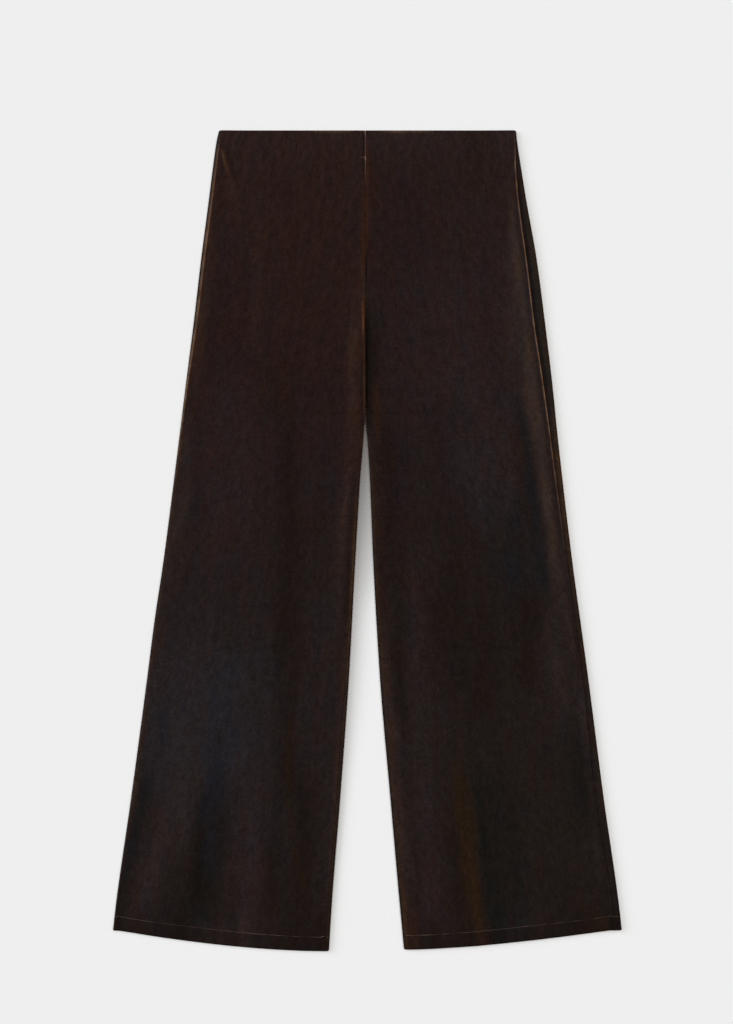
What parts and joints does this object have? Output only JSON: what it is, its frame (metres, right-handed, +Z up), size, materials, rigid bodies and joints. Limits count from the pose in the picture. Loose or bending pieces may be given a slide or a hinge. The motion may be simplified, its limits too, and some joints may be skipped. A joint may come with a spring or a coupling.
{
  "type": "palazzo pants",
  "caption": "Pull-on velvet palazzo pants laid flat front up: plain turned waist, centre seam, legs that widen to stitched hems.",
  "frame": {"origin": "on the surface the garment lies on, under the middle of its outline", "axes": "+X to the wearer's left, +Y from hems to waist, +Z up out of the front"},
  "size_m": [0.6505, 1.05, 0.0089],
  "materials": {
    "velvet": "dark brown stretch velvet with a copper sheen",
    "thread": "matt tan sewing thread"
  },
  "bodies": {
    "root": {"front_right": "velvet", "front_left": "velvet", "back_right": "velvet", "back_left": "velvet"}
  },
  "joints": []
}
